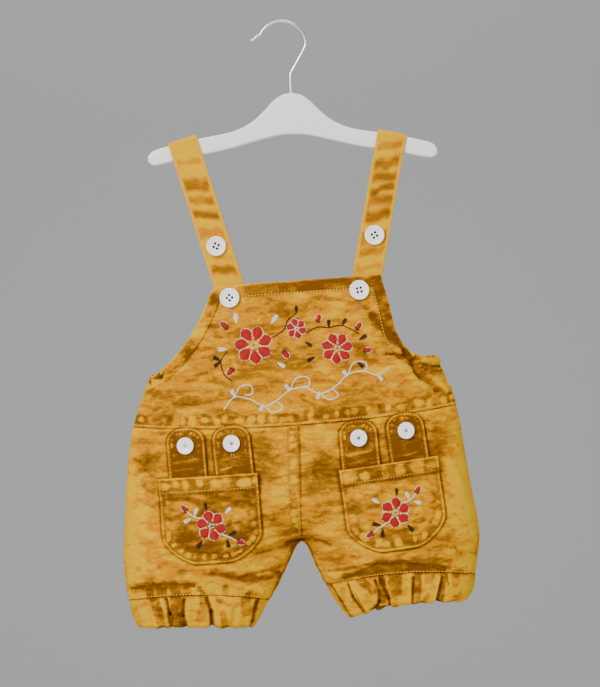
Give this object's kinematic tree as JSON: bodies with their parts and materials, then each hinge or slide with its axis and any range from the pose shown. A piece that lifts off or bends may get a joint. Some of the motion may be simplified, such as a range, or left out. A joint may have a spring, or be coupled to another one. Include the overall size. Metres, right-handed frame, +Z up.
{
  "type": "kids dungarees on a hanger",
  "caption": "Small child's short dungarees in washed cotton twill with bib, buttoned straps, patch pockets and gathered cuffs, hanging on a plastic hanger with a wire hook.",
  "frame": {"origin": "inside of the hook's crest, where a rail carries the hanger", "axes": "+Z up; the garment's front faces -Y; +X is the wearer's left, which is the right-hand side seen from the front"},
  "size_m": [0.3209, 0.0738, 0.5433],
  "materials": {
    "twill": "matte, washed",
    "button": "satin",
    "hanger": "satin",
    "wire": "polished"
  },
  "bodies": {
    "root": {"bib": "twill", "front_leg_left": "twill", "front_leg_right": "twill", "back_leg_left": "twill", "back_leg_right": "twill", "cuff_left": "twill", "cuff_right": "twill", "back_band": "twill", "pocket_left": "twill", "pocket_right": "twill", "tab_left_outer": "twill", "tab_left_inner": "twill", "tab_right_inner": "twill", "tab_right_outer": "twill", "tab_button_left_outer": "button", "tab_button_left_inner": "button", "tab_button_right_inner": "button", "tab_button_right_outer": "button", "bib_button_left": "button", "bib_button_right": "button", "strap_left": "twill", "strap_right": "twill", "strap_button_left": "button", "strap_button_right": "button", "hanger_plate": "hanger", "hanger_hook": "wire"}
  },
  "joints": []
}
